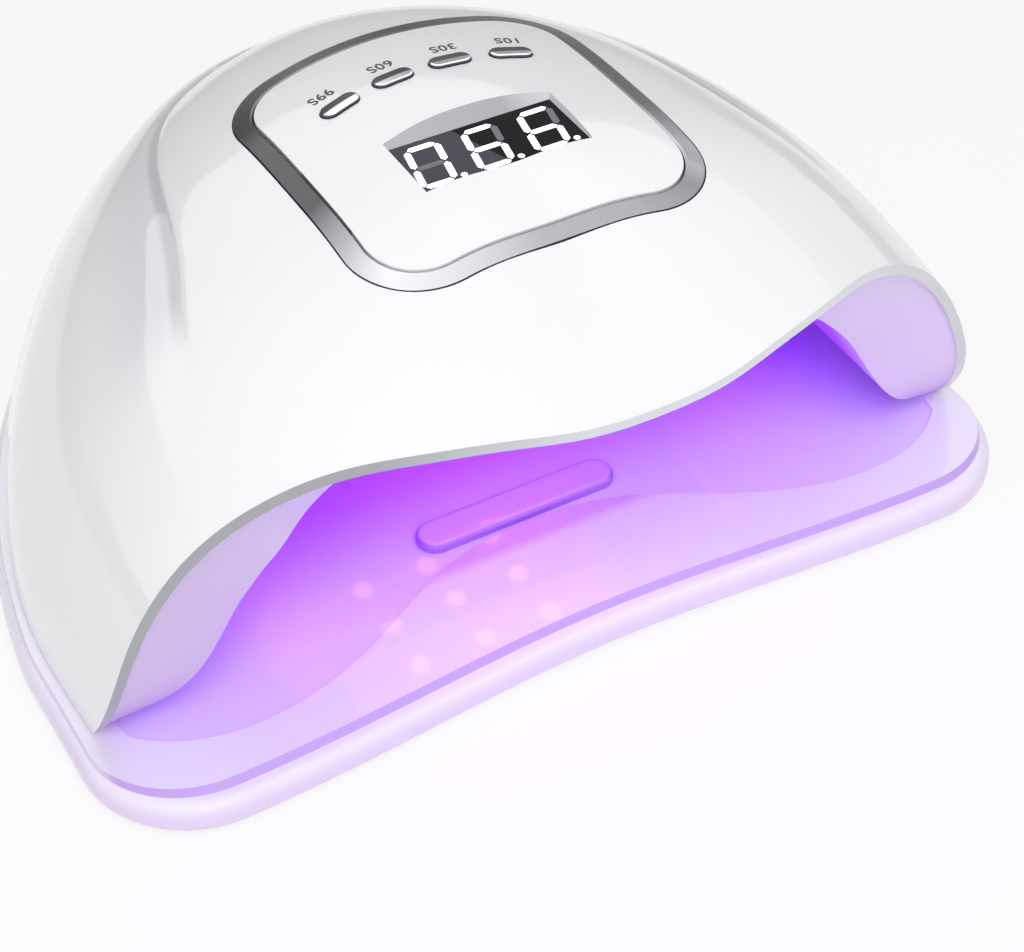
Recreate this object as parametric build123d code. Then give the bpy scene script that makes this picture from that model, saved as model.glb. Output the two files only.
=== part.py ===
from build123d import *
import math
import os

# A nail lamp: a domed lamp housing that lifts off a flat tray.
# Millimetres. The tray stands on z = 0, the hand goes in from the front (-Y), +X is the right side.

# Housing dome, measured from its centre line
housing_base_z = 10.5
dome_centre_y = -36.5
dome_half_width = 113.2
dome_back_reach = 112.3
dome_front_reach = 163.8
dome_height = 96.2
dome_cap_share = 0.9667
housing_wall = 2.4

# Roundness of the dome: of its plan behind and before the centre, and of its fall in height
dome_back_power = 1.86
dome_front_power = 2.41
dome_back_fall = 2.86
dome_side_fall = 2.03
dome_front_fall = 1.31

# Skirt that flares out below the crease, a longer and rounder form of the same kind
skirt_half_width = 110.0
skirt_back_reach = 136.7
skirt_front_reach = 147.4
skirt_height = 110.5
skirt_power = 1.95
skirt_back_fall = 1.74
skirt_side_fall = 1.57
skirt_front_fall = 2.93
skirt_blend = 3.0

# Crease between dome and skirt: its height round the lamp as a sum of waves, and its section
crease_waves = (66.2, 13.2, -7.9, -1.6)
crease_depth = 0.8
crease_upper_fade = 6.0
crease_lower_fade = 3.0
shoulder_width = 1.3
shoulder_rise = 1.8
shoulder_fade = 14.0
crease_end_angle = 110.0
crease_fading_angle = 26.0

# Front edge of the housing
visor_front_y = -104.5
leg_front_y = -75.2
toe_radius = 43.8
toe_height = 27.5
toe_corner_radius = 5.5

# Hand cavity, its lining and the front fascia
mouth_half_width = 88.0
mouth_height = 59.5
mouth_back_power = 2.6
mouth_front_power = 6.0
mouth_roof_power = 1.3
mouth_roof_round = 0.24
mouth_flare = 26.0
mouth_flare_height = 8.0
cavity_centre_y = -20.0
cavity_back_reach = 74.0
cavity_front_reach = 175.0
lip_leg_y = -71.2
lip_top_y = -82.0
liner_wall = 2.2
fascia_depth = 3.5
fascia_recess = 0.6

# Control panel, trim ring and the frame below them
panel_lift = 0.15
ring_half_width = 41.7
ring_front_y = -71.4
ring_front_hollow = 4.6
ring_back_y = 17.0
ring_back_crown = 6.0
ring_front_corner = 17.0
ring_back_corner = 17.0
ring_width = 4.6
ring_edge_radius = 0.6
panel_gap = 0.15
frame_wall = 1.8
frame_flange = 5.0

# Display window, level, so that the crowned panel rises behind it
window_width = 39.0
window_front_y = -46.1
window_back_y = -28.5
window_z = 104.4
recess_back_y = -23.2
recess_back_crown = 2.3
recess_side_draft = 1.8
window_thickness = 1.2
fit_gap = 0.15

# Time buttons, on an arc
button_length = 9.8
button_width = 4.4
button_pitch = 14.0
button_arc_radius = 85.0
button_arc_top_y = -6.8
button_proud = 0.8
button_edge_radius = 0.5
button_flange = 0.8
button_flange_thickness = 0.8
button_travel = 0.6
button_gap = 0.2
stem_radius = 1.5
switch_size = 6.0
switch_height = 3.6
plunger_radius = 1.4
plunger_height = 0.8
switch_gap = 0.15

# Boards behind the panel and the liner
board_thickness = 1.6
control_board_top_z = 95.0
control_board_length = 60.0
control_board_depth = 58.0
control_board_centre_y = -22.0
led_board_length = 54.0
led_board_depth = 76.0
led_board_centre_y = -34.0
heat_plate_thickness = 2.0
post_radius = 3.2
post_inset = 5.0
screw_radius = 1.4
screw_head_radius = 2.7
screw_head_height = 1.6
screw_length = 7.0

# Lamp beads, pushed through the liner's roof
bead_radius = 2.6
bead_height = 1.2
bead_pitch_x = 19.0
bead_pitch_y = 16.0
bead_rows = 5
bead_columns = 3

# Bottom plate, socket, vents and magnets of the housing
bottom_plate_thickness = 2.2
bottom_plate_front_y = 22.0
socket_hole_radius = 2.75
socket_hole_depth = 9.0
socket_pin_radius = 1.05
socket_collar_radius = 4.2
socket_width = 11.0
socket_depth = 15.0
socket_centre_z = 20.0
socket_setback = 1.2
vent_count = 7
vent_width = 2.2
vent_height = 13.0
vent_pitch = 7.0
vent_base_z = 33.0
magnet_radius = 4.5
magnet_thickness = 1.6
magnet_x = 75.0
magnet_y = 47.0
pad_radius = 4.0
pad_thickness = 1.0
boss_radius = 3.6
boss_places = ((24.0, 80.0), (56.0, 61.0))
pad_places = ((10.0, 66.0), (40.0, 68.0))

# Tray
tray_ledge = 4.3
tray_bottom_z = 1.0
tray_rim_z = 8.4
tray_corner_y = -69.5
tray_corner_radius = 26.3
tray_front_y = -95.8
tray_front_hollow = 5.0
tray_bullnose = 3.6
tray_lower_round = 2.2
plateau_top_z = 10.2
plateau_side_inset = 2.1
plateau_front_inset = 3.9
plateau_side_slope = 0.3
plateau_front_slope = 1.5
scoop_depth = 0.8
scoop_front_y = -54.5
scoop_shoulder_y = -78.6
scoop_back_y = 46.0
tray_wall = 2.4
rib_thickness = 1.6
rib_pitch = 46.0
finger_bar_length = 52.0
finger_bar_width = 9.4
finger_bar_height = 2.4
finger_bar_y = -48.8
foot_radius = 6.5
foot_height = 2.0
foot_recess = 1.0
foot_boss_wall = 1.5
foot_x = 84.0
foot_front_y = -76.0
foot_back_y = 52.0
foot_middle_x = 100.0
foot_middle_y = -10.0

big = 400.0
section_points = 40
# Sections of the dome: shares of the way up to the crease, and above 1 from there up to the cap
dome_levels = (
    0, 0.13, 0.28, 0.44, 0.6, 0.73, 0.83, 0.9, 0.948, 0.979, 1,
    1.07, 1.18, 1.32, 1.46, 1.59, 1.7, 1.79, 1.86, 1.92, 1.965, 2
)
cavity_levels = (0, 0.045, 0.1, 0.165, 0.24, 0.34, 0.47, 0.61, 0.75, 0.865, 0.935, 0.975, 1)
cavity_cap_share = 0.988


# Curved forms

def superellipse(angle, half_width, back, front, back_power, front_power):
    side = abs(math.sin(angle)) / half_width
    along = math.cos(angle)
    power = back_power if along >= 0 else front_power
    reach = back if along >= 0 else front
    return (side ** power + (abs(along) / reach) ** power) ** (-1 / power)


def profile(share, fall):
    """Share of the plan that is left at a share of the full height."""
    share = min(max(share, 0), 1)
    return (1 - share ** fall) ** (1 / fall)


def round_about(angle, back, side, front):
    """A value that changes smoothly from the back over the sides to the front."""
    along = math.cos(angle)
    end = back if along >= 0 else front
    return end * along * along + side * (1 - along * along)


def crease_height(angle):
    return sum(size * math.cos(count * angle) for count, size in enumerate(crease_waves))


def crease_strength(angle):
    """1 round the back and the sides, fading to 0 before the legs."""
    turn = abs(math.degrees(math.remainder(angle, 2 * math.pi)))
    share = min(max((crease_end_angle - turn) / crease_fading_angle, 0), 1)
    return share * share * (3 - 2 * share)


def with_crease(angle, height, dome, skirt):
    """Radius of the joined form: the dome above the crease, the larger of both below it."""
    below = crease_height(angle) - height
    strength = crease_strength(angle)
    if below <= 0:
        return dome - strength * crease_depth * math.exp(below / crease_upper_fade)
    blend = max(skirt_blend - abs(dome - skirt), 0)
    joined = max(dome, skirt) + blend * blend / (4 * skirt_blend)
    shoulder = shoulder_width * math.exp(-below / shoulder_fade)
    rise = 1 - math.exp(-below / shoulder_rise)
    groove = crease_depth * math.exp(-below / crease_lower_fade)
    return dome + strength * (rise * (joined - dome + shoulder) - groove)


def dome_radius(angle, z, inset):
    height = z - housing_base_z
    plan = superellipse(
        angle,
        dome_half_width - inset,
        dome_back_reach - inset,
        dome_front_reach - inset,
        dome_back_power,
        dome_front_power,
    )
    fall = round_about(angle, dome_back_fall, dome_side_fall, dome_front_fall)
    dome = plan * profile(height / (dome_height - inset), fall)
    plan = superellipse(
        angle,
        skirt_half_width - inset,
        skirt_back_reach - inset,
        skirt_front_reach - inset,
        skirt_power,
        skirt_power,
    )
    fall = round_about(angle, skirt_back_fall, skirt_side_fall, skirt_front_fall)
    skirt = plan * profile(height / (skirt_height - inset), fall)
    return with_crease(angle, height, dome, skirt)


def cavity_radius(angle, z, grow):
    height = z - housing_base_z - 0.8 * grow
    share = min(max(height / mouth_height, 0), 1)
    plan = superellipse(
        angle, mouth_half_width, cavity_back_reach, cavity_front_reach, mouth_back_power, mouth_front_power
    )
    sideways = math.sin(angle) ** 6 if math.cos(angle) > 0 else 1
    flare = mouth_flare * sideways * math.exp(-height / mouth_flare_height)
    return (1 - share ** mouth_roof_power) ** mouth_roof_round * plan + flare + 0.6 * grow


def section_ring(radius_at, centre_y, height_at, amount):
    """Closed curve round a centre, at a height that may change with the angle."""
    points = []
    for step in range(section_points):
        angle = 2 * math.pi * step / section_points
        z = housing_base_z + height_at(angle)
        radius = radius_at(angle, z, amount)
        points.append((radius * math.sin(angle), centre_y + radius * math.cos(angle), z))
    return Wire([Spline(points, periodic=True)])


def dome_section_height(angle, level, top):
    crease = crease_height(angle)
    if level <= 1:
        return level * crease
    return crease + (level - 1) * (top - crease)


def dome_section(level, inset):
    top = dome_cap_share * (dome_height - inset)
    return section_ring(
        dome_radius, dome_centre_y, lambda angle: dome_section_height(angle, level, top), inset
    )


def dome_solid(inset):
    return Solid.make_loft([dome_section(level, inset) for level in dome_levels])


def cavity_section(level, grow):
    top = cavity_cap_share * mouth_height + 0.8 * grow
    return section_ring(cavity_radius, cavity_centre_y, lambda angle: level * top, grow)


def cavity_solid(grow):
    return Solid.make_loft([cavity_section(level, grow) for level in cavity_levels])


def height_on_dome(x, y):
    """Height of the dome's outer surface above a point of the plan."""
    angle = math.atan2(x, y - dome_centre_y)
    radius = math.hypot(x, y - dome_centre_y)
    low = housing_base_z
    high = housing_base_z + dome_height
    for _ in range(40):
        middle = (low + high) / 2
        if dome_radius(angle, middle, 0) > radius:
            low = middle
        else:
            high = middle
    return low


def height_on_mouth(x):
    """Height of the mouth's arch at a distance from the middle."""
    low = housing_base_z
    high = housing_base_z + mouth_height
    for _ in range(40):
        middle = (low + high) / 2
        if cavity_radius(math.pi / 2, middle, 0) > x:
            low = middle
        else:
            high = middle
    return low


# Front edge

# Shares of the half width, and of the way from the legs' front to the visor's front
edge_shares = (
    (0, 1),
    (0.14, 0.978),
    (0.28, 0.855),
    (0.41, 0.685),
    (0.55, 0.442),
    (0.685, 0.232),
    (0.812, 0.078),
    (0.9, 0.018),
    (1.04, 0),
)


def mirrored(points):
    """The same points on the left, then on the right, with the middle one once."""
    left = [(-point[0],) + tuple(point[1:]) for point in reversed(points[1:])]
    return left + list(points)


def edge_plan():
    points = []
    for across, forward in edge_shares:
        x = across * dome_half_width
        y = leg_front_y + forward * (visor_front_y - leg_front_y)
        points.append((x, y))
    return points


def toe_y(z):
    """Front of the leg in the side view, where it curves back to the toe."""
    below = max(housing_base_z + toe_height - z, 0)
    below = min(below, toe_radius)
    return leg_front_y + toe_radius - math.sqrt(toe_radius ** 2 - below ** 2)


def plan_trim():
    front = Spline(mirrored(edge_plan()))
    left = front @ 0
    right = front @ 1
    sides = Polyline((right.X, right.Y), (right.X, big), (left.X, big), (left.X, left.Y))
    return extrude(Face(Wire([front] + list(sides.edges()))), amount=big)


def toe_trim():
    top_z = housing_base_z + toe_height
    middle_z = housing_base_z + toe_height / 2
    start = (leg_front_y, top_z)
    end = (toe_y(housing_base_z), housing_base_z)
    arc = ThreePointArc(start, (toe_y(middle_z), middle_z), end)
    rest = Polyline(end, (big, housing_base_z), (big, big), (-big, big), (-big, top_z), start)
    outline = Face(Wire([arc] + list(rest.edges())))
    corner = outline.vertices().sort_by_distance(end)[0]
    outline = fillet(corner, toe_corner_radius)
    side_view = Plane(origin=(-big / 2, 0, 0), x_dir=(0, 1, 0), z_dir=(1, 0, 0))
    return extrude(side_view * outline, amount=big)


def lip_y(z):
    share = min(max((z - housing_base_z) / mouth_height, 0), 1)
    arch = lip_leg_y + (lip_top_y - lip_leg_y) * share ** 3.4
    return max(arch, toe_y(z) + fascia_recess)


def crossing_y(curve, x):
    """Where a curve of the plan, drawn from left to right, passes a distance from the middle."""
    low = 0.0
    high = 1.0
    for _ in range(30):
        middle = (low + high) / 2
        if curve.position_at(middle).X < x:
            low = middle
        else:
            high = middle
    return curve.position_at(low).Y


def front_face():
    """Ruled face from the housing's edge to the mouth's lip, a little past both."""
    plan = Spline(mirrored(edge_plan()))
    edge = []
    for across in (0, 0.12, 0.25, 0.38, 0.5, 0.61, 0.71, 0.8, 0.88):
        x = across * dome_half_width
        y = crossing_y(plan, x)
        edge.append(Vector(x, y + fascia_recess, height_on_dome(x, y)))
    lip = []
    for across in (0, 0.17, 0.34, 0.49, 0.61, 0.71, 0.78, 0.84, 0.89):
        x = across * mouth_half_width
        z = height_on_mouth(x)
        lip.append(Vector(x, lip_y(z), z))
    for share in (0.42, 0.28, 0.15, 0.06, -0.06):
        z = housing_base_z + share * mouth_height
        radius = dome_radius(math.pi / 2, z, 0)
        mouth = min(cavity_radius(math.pi / 2, z, 0), radius - housing_wall - 1)
        edge.append(Vector(radius, toe_y(z) + fascia_recess, z))
        lip.append(Vector(mouth, lip_y(z), z))
    outer = []
    inner = []
    for start, end in zip(lip, edge):
        way = end - start
        if way.length < 14:
            way = Vector(1, 0, 0)
        way = way.normalized()
        far = end + way * 5
        near = start - way * 9
        outer.append((far.X, far.Y, far.Z))
        inner.append((near.X, near.Y, near.Z))
    return Face.make_surface_from_curves(Spline(mirrored(outer)), Spline(mirrored(inner)))


def in_front_of_fascia(shift):
    """All that lies in front of the fascia's face, moved back by a distance."""
    return Pos(0, shift, 0) * extrude(front_face(), amount=big / 2, dir=(0, -1, 0))


# Panel surface

def below_panel(lift):
    """A block under a surface that follows the crown of the dome, raised by a distance."""
    rows = []
    for row in range(11):
        y = ring_front_y - 8 + row * (ring_back_y - ring_front_y + 16) / 10
        line = []
        for column in range(11):
            x = (column - 5) / 5 * (ring_half_width + 8)
            line.append(Vector(x, y, height_on_dome(x, y) + lift))
        rows.append(line)
    top = Face.make_surface_from_array_of_points(rows, tol=0.02)
    return extrude(top, amount=dome_height / 3, dir=(0, 0, -1))


def upright(outline, low_z, high_z):
    return extrude(Pos(0, 0, low_z) * outline, amount=high_z - low_z, dir=(0, 0, 1))


def ring_outline(inset):
    half = ring_half_width
    back_y = ring_back_y - ring_back_crown
    front = ThreePointArc((-half, ring_front_y), (0, ring_front_y + ring_front_hollow), (half, ring_front_y))
    right = Line((half, ring_front_y), (half, back_y))
    back = ThreePointArc((half, back_y), (0, ring_back_y), (-half, back_y))
    left = Line((-half, back_y), (-half, ring_front_y))
    outline = Face(Wire([front, right, back, left]))
    corners = outline.vertices().sort_by(Axis.Y)
    outline = fillet(corners[:2], ring_front_corner)
    corners = [corner for corner in outline.vertices() if abs(corner.Y - back_y) < 0.01]
    outline = fillet(corners, ring_back_corner)
    if inset == 0:
        return outline
    return offset(outline, amount=-inset)


def trim_ring(inside):
    low_z = control_board_top_z - 5
    high_z = housing_base_z + dome_height + 5
    band = ring_outline(0) - ring_outline(ring_width)
    ring = upright(band, low_z, high_z) & below_panel(panel_lift)
    ring = ring - inside
    top = ring.faces().sort_by(Axis.Z)[-1]
    return fillet(top.edges(), ring_edge_radius)


def window_outline(grow):
    middle_y = (window_front_y + window_back_y) / 2
    depth = window_back_y - window_front_y
    return Pos(0, middle_y, 0) * Rectangle(window_width + 2 * grow, depth + 2 * grow)


def recess():
    """Space above the window, with drafted sides and a bowed back edge."""
    low_half = window_width / 2
    high_half = low_half + recess_side_draft
    high_z = housing_base_z + dome_height + 1
    low = recess_wire(low_half, window_back_y, window_back_y + 0.01, window_z)
    high = recess_wire(high_half, recess_back_y - recess_back_crown, recess_back_y, high_z)
    return Solid.make_loft([low, high], ruled=True)


def recess_wire(half, corner_y, middle_y, z):
    front = Line((half, window_front_y, z), (-half, window_front_y, z))
    left = Line((-half, window_front_y, z), (-half, corner_y, z))
    back = ThreePointArc((-half, corner_y, z), (0, middle_y, z), (half, corner_y, z))
    right = Line((half, corner_y, z), (half, window_front_y, z))
    return Wire([front, left, back, right])


def window_shaft():
    return upright(window_outline(fit_gap), control_board_top_z, window_z)


# Buttons

def button_place(index):
    """Place of a button on its arc, counted from the left, turned to follow the arc."""
    x = (index - 1.5) * button_pitch
    turn = math.asin(x / button_arc_radius)
    y = button_arc_top_y - button_arc_radius * (1 - math.cos(turn))
    return Pos(x, y, 0) * Rot(0, 0, -math.degrees(turn))


def button_seat_z():
    """Height of the frame's top under the buttons."""
    return housing_base_z + dome_cap_share * (dome_height - housing_wall)


def pill(index, grow):
    return button_place(index) * SlotOverall(button_length + 2 * grow, button_width + 2 * grow)


def round_at(index, radius):
    return button_place(index) * Circle(radius)


def plunger_top_z():
    return control_board_top_z + switch_height + plunger_height


def button(index):
    high_z = housing_base_z + dome_height + 5
    flange_low_z = button_seat_z() + button_travel + button_gap
    flange_high_z = flange_low_z + button_flange_thickness
    stem_low_z = plunger_top_z() + button_travel + switch_gap
    cap = upright(pill(index, 0), flange_low_z, high_z) & below_panel(panel_lift + button_proud)
    cap = fillet(cap.faces().sort_by(Axis.Z)[-1].edges(), button_edge_radius)
    flange = upright(pill(index, button_flange), flange_low_z, flange_high_z)
    stem = upright(round_at(index, stem_radius), stem_low_z, flange_low_z)
    return cap + flange + stem


def button_holes():
    """Through holes for the caps, widened below for the flanges."""
    high_z = housing_base_z + dome_height + 5
    holes = []
    for index in range(4):
        seat_z = button_seat_z()
        pocket_z = seat_z + button_travel + 2 * button_gap + button_flange_thickness
        holes.append(upright(pill(index, button_gap), seat_z - 1, high_z))
        holes.append(upright(pill(index, button_flange + button_gap), seat_z - 1, pocket_z))
    return holes


def tact_switches():
    switches = []
    for index in range(4):
        top_z = control_board_top_z + switch_height
        body = upright(button_place(index) * Rectangle(switch_size, switch_size), control_board_top_z, top_z)
        plunger = upright(round_at(index, plunger_radius), top_z, plunger_top_z())
        switches.append(body + plunger)
    return Compound(switches)


# Panel and its frame

def control_panel(inside):
    outline = ring_outline(ring_width + panel_gap)
    low_z = control_board_top_z - 5
    high_z = housing_base_z + dome_height + 5
    panel = upright(outline, low_z, high_z) & below_panel(panel_lift)
    panel = panel - inside - recess() - window_shaft()
    for hole in button_holes():
        panel = panel - hole
    return panel


def post_places():
    x = control_board_length / 2 - post_inset
    y = control_board_depth / 2 - post_inset
    centre = control_board_centre_y
    return [(side * x, centre + end * y) for side in (-1, 1) for end in (-1, 1)]


def panel_frame(inside, deeper):
    outline = offset(ring_outline(0), amount=frame_flange)
    low_z = control_board_top_z - 12
    high_z = housing_base_z + dome_height
    block = upright(outline, low_z, high_z) & inside
    frame = block - deeper
    for x, y in post_places():
        post = upright(Pos(x, y, 0) * Circle(post_radius), control_board_top_z, high_z)
        pilot = upright(Pos(x, y, 0) * Circle(screw_radius), control_board_top_z, screw_top_z())
        frame = frame + (post & inside) - pilot
    frame = frame - recess() - window_shaft()
    for index in range(4):
        frame = frame - upright(round_at(index, stem_radius + 0.6), low_z, high_z)
    return frame


def screw_top_z():
    return control_board_top_z - board_thickness + screw_length - screw_head_height


def display_window():
    return upright(window_outline(0), window_z - window_thickness, window_z)


def display_module():
    return upright(window_outline(-0.5), control_board_top_z, window_z - window_thickness)


def control_board():
    outline = Pos(0, control_board_centre_y, 0) * RectangleRounded(control_board_length, control_board_depth, 3)
    board = upright(outline, control_board_top_z - board_thickness, control_board_top_z)
    for x, y in post_places():
        board = board - upright(Pos(x, y, 0) * Circle(screw_radius + 0.1), 0, big)
    return board


def screw(x, y, seat_z, pointing_up):
    """A screw whose head bears on a face; the shank points up or down."""
    if pointing_up:
        head = upright(Circle(screw_head_radius), seat_z - screw_head_height, seat_z)
        shank = upright(Circle(screw_radius - 0.05), seat_z, seat_z + screw_length - screw_head_height)
    else:
        head = upright(Circle(screw_head_radius), seat_z, seat_z + screw_head_height)
        shank = upright(Circle(screw_radius - 0.05), seat_z - screw_length + screw_head_height, seat_z)
    return Pos(x, y, 0) * (head + shank)


def board_screws():
    seat_z = control_board_top_z - board_thickness
    return Compound([screw(x, y, seat_z, True) for x, y in post_places()])


# Housing

def boss_spots():
    return [(side * x, y) for side in (-1, 1) for x, y in boss_places]


def plate_top_z():
    return housing_base_z + bottom_plate_thickness


def back_wall_y(z):
    return dome_centre_y + dome_radius(0, z, 0)


def vents():
    slots = []
    for index in range(vent_count):
        x = (index - (vent_count - 1) / 2) * vent_pitch
        outline = Rot(0, 0, 90) * SlotOverall(vent_height, vent_width)
        plane = Plane(origin=(x, 0, vent_base_z + vent_height / 2), x_dir=(1, 0, 0), z_dir=(0, 1, 0))
        slots.append(extrude(plane * outline, amount=big))
    return slots


def along_y(radius, low_y, high_y):
    plane = Plane(origin=(0, low_y, socket_centre_z), x_dir=(1, 0, 0), z_dir=(0, 1, 0))
    return extrude(plane * Circle(radius), amount=high_y - low_y)


def outer_shell(outside, inside):
    shell = outside - inside
    for x, y in boss_spots():
        boss = upright(Pos(x, y, 0) * Circle(boss_radius), plate_top_z(), big / 4) & inside
        shell = shell + boss
        pilot_top = plate_top_z() + screw_length + 1
        shell = shell - upright(Pos(x, y, 0) * Circle(screw_radius), plate_top_z(), pilot_top)
    shell = shell & plan_trim() & toe_trim()
    pocket = offset(ring_outline(0), amount=panel_gap)
    shell = shell - upright(pocket, control_board_top_z - 10, big / 3)
    for slot in vents():
        shell = shell - slot
    return shell - along_y(socket_collar_radius + fit_gap, socket_back_y(), big)


def front_fascia(inside, cavity):
    plate = in_front_of_fascia(fascia_depth) - in_front_of_fascia(0)
    return (plate & inside) - cavity


def inner_liner(inside, cavity, cavity_outer):
    liner = (cavity_outer - cavity) & inside
    liner = (liner & plan_trim()) - in_front_of_fascia(fascia_depth)
    for x, y in bead_places():
        liner = liner - upright(Pos(x, y, 0) * Circle(bead_radius + fit_gap), bead_low_z(), big / 4)
    return liner


def bottom_plate(inside, cavity_outer):
    slab = Pos(0, 0, housing_base_z) * Box(big, big, 2 * bottom_plate_thickness)
    plate = (inside & slab) - cavity_outer
    plate = plate - Pos(0, bottom_plate_front_y - big / 2, housing_base_z) * Box(big, big, big / 4)
    for x, y in boss_spots():
        plate = plate - upright(Pos(x, y, 0) * Circle(screw_radius + 0.2), 0, big)
        plate = plate - upright(Pos(x, y, 0) * Circle(screw_head_radius + 0.2), 0, plate_screw_z())
    for x, y in sided([(magnet_x, magnet_y)]):
        plate = plate - upright(Pos(x, y, 0) * Circle(magnet_radius), 0, housing_base_z + magnet_thickness)
    for x, y in sided(pad_places):
        plate = plate - upright(Pos(x, y, 0) * Circle(pad_radius), 0, housing_base_z + pad_thickness)
    return plate


def sided(places):
    return [(side * x, y) for side in (-1, 1) for x, y in places]


def plate_screw_z():
    return housing_base_z + screw_head_height


def plate_screws():
    return Compound([screw(x, y, plate_screw_z(), True) for x, y in boss_spots()])


def discs(places, radius, low_z, thickness):
    return Compound([upright(Pos(x, y, 0) * Circle(radius), low_z, low_z + thickness) for x, y in places])


def socket_back_y():
    """Back face of the socket's body, clear of the sloping wall behind it."""
    top_z = socket_centre_z + socket_width / 2
    return dome_centre_y + dome_radius(0, top_z, housing_wall) - fit_gap


def power_socket():
    back_y = socket_back_y()
    face_y = back_wall_y(socket_centre_z) - socket_setback
    high_z = socket_centre_z + socket_width / 2
    low_z = plate_top_z()
    body = Box(socket_width, socket_depth, high_z - low_z)
    body = Pos(0, back_y - socket_depth / 2, (low_z + high_z) / 2) * body
    collar = along_y(socket_collar_radius, back_y, face_y)
    hole = along_y(socket_hole_radius, face_y - socket_hole_depth, face_y)
    return body + collar - hole


def socket_pin():
    face_y = back_wall_y(socket_centre_z) - socket_setback
    return along_y(socket_pin_radius, face_y - socket_hole_depth, face_y - 1.5)


# Lamp beads and their boards

def liner_top_z(grow):
    return housing_base_z + cavity_cap_share * mouth_height + 0.8 * grow


def bead_places():
    places = []
    for row in range(bead_rows):
        for column in range(bead_columns):
            x = (column - (bead_columns - 1) / 2) * bead_pitch_x
            y = led_board_centre_y + (row - (bead_rows - 1) / 2) * bead_pitch_y
            places.append((x, y))
    return places


def bead_low_z():
    return liner_top_z(0) - bead_height


def led_beads():
    """Beads that hang from their board through holes in the liner's roof."""
    beads = []
    for x, y in bead_places():
        bead = upright(Pos(x, y, 0) * Circle(bead_radius), bead_low_z(), liner_top_z(liner_wall))
        beads.append(chamfer(bead.edges().sort_by(Axis.Z)[0], bead_height * 0.4))
    return Compound(beads)


def led_board():
    low_z = liner_top_z(liner_wall)
    outline = Pos(0, led_board_centre_y, 0) * RectangleRounded(led_board_length, led_board_depth, 4)
    return upright(outline, low_z, low_z + board_thickness)


def heat_plate():
    low_z = liner_top_z(liner_wall) + board_thickness
    outline = Pos(0, led_board_centre_y, 0) * RectangleRounded(led_board_length, led_board_depth, 4)
    return upright(outline, low_z, low_z + heat_plate_thickness)


# Tray

def tray_outline(side_inset, front_inset):
    """Half of the edge follows the housing's base, then an oval corner and a hollow front."""
    side_x = dome_half_width + tray_ledge - side_inset
    centre_x = dome_half_width + tray_ledge - tray_corner_radius
    front_y = tray_front_y + front_inset
    middle_y = front_y + tray_front_hollow
    points = []
    for degrees in (0, 15, 30, 45, 60, 75, 88):
        angle = math.radians(degrees)
        radius = dome_radius(angle, housing_base_z, 0) + tray_ledge - side_inset
        points.append((radius * math.sin(angle), dome_centre_y + radius * math.cos(angle)))
    points.append((side_x, tray_corner_y))
    back = Spline(points, tangents=[(1, 0), (0, -1)])
    corner = EllipticalCenterArc(
        (centre_x, tray_corner_y), side_x - centre_x, tray_corner_y - front_y, start_angle=270, arc_size=90
    )
    front = Spline([(centre_x, front_y), (0, middle_y)], tangents=[(-1, 0), (-1, 0)])
    half = [back, corner, front]
    other = [edge.mirror(Plane.YZ) for edge in half]
    return Face(Wire(half + other))


def scoop_outline():
    half = dome_half_width - 7
    front = Spline(
        mirrored([
            (0, scoop_front_y),
            (0.22 * half, scoop_front_y - 4),
            (0.47 * half, scoop_front_y - 17.5),
            (0.65 * half, scoop_shoulder_y),
            (0.85 * half, scoop_shoulder_y),
            (half, scoop_shoulder_y + 9),
        ])
    )
    start = (half, scoop_shoulder_y + 9)
    rest = Spline(
        [start, (half, -30), (half * 0.75, scoop_back_y - 20), (0, scoop_back_y), (-half * 0.75, scoop_back_y - 20),
         (-half, -30), (-half, scoop_shoulder_y + 9)]
    )
    return Face(Wire([front, rest]))


def foot_places():
    return sided([(foot_x, foot_front_y), (foot_middle_x, foot_middle_y), (foot_x * 0.8, foot_back_y)])


def plateau():
    """Raised field of the tray, with a band that slopes up to it, widest along the front."""
    foot = tray_outline(plateau_side_inset, plateau_front_inset)
    head = tray_outline(plateau_side_inset + plateau_side_slope, plateau_front_inset + plateau_front_slope)
    foot_wire = (Pos(0, 0, tray_rim_z) * foot).outer_wire()
    head_wire = (Pos(0, 0, plateau_top_z) * head).outer_wire()
    return upright(foot, tray_rim_z - 2, tray_rim_z) + Solid.make_loft([foot_wire, head_wire], ruled=True)


def tray_plate():
    rim = upright(tray_outline(0, 0), tray_bottom_z, tray_rim_z)
    rim = fillet(rim.faces().sort_by(Axis.Z)[-1].edges(), tray_bullnose)
    rim = fillet(rim.faces().sort_by(Axis.Z)[0].edges(), tray_lower_round)
    plate = rim + plateau()
    plate = plate - upright(scoop_outline(), plateau_top_z - scoop_depth, big)
    floor_z = plateau_top_z - scoop_depth
    bar = Pos(0, finger_bar_y, 0) * SlotOverall(finger_bar_length, finger_bar_width)
    bar = upright(bar, floor_z - 0.5, floor_z + finger_bar_height)
    bar = fillet(bar.faces().sort_by(Axis.Z)[-1].edges(), finger_bar_height * 0.6)
    hollow = tray_outline(tray_bullnose + tray_wall, tray_bullnose + tray_wall)
    hollow_top = floor_z - tray_wall
    plate = plate - upright(hollow, 0, hollow_top)
    plate = plate + tray_ribs(hollow, hollow_top)
    plate = plate + bar
    for x, y in foot_places():
        boss = upright(Pos(x, y, 0) * Circle(foot_radius + foot_boss_wall), tray_bottom_z, hollow_top + 0.5)
        seat = upright(Pos(x, y, 0) * Circle(foot_radius), 0, tray_bottom_z + foot_recess)
        plate = plate + boss - seat
    for x, y in sided([(magnet_x, magnet_y)]):
        plate = plate - upright(Pos(x, y, 0) * Circle(magnet_radius), plateau_top_z - magnet_thickness, big)
    return plate


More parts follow.
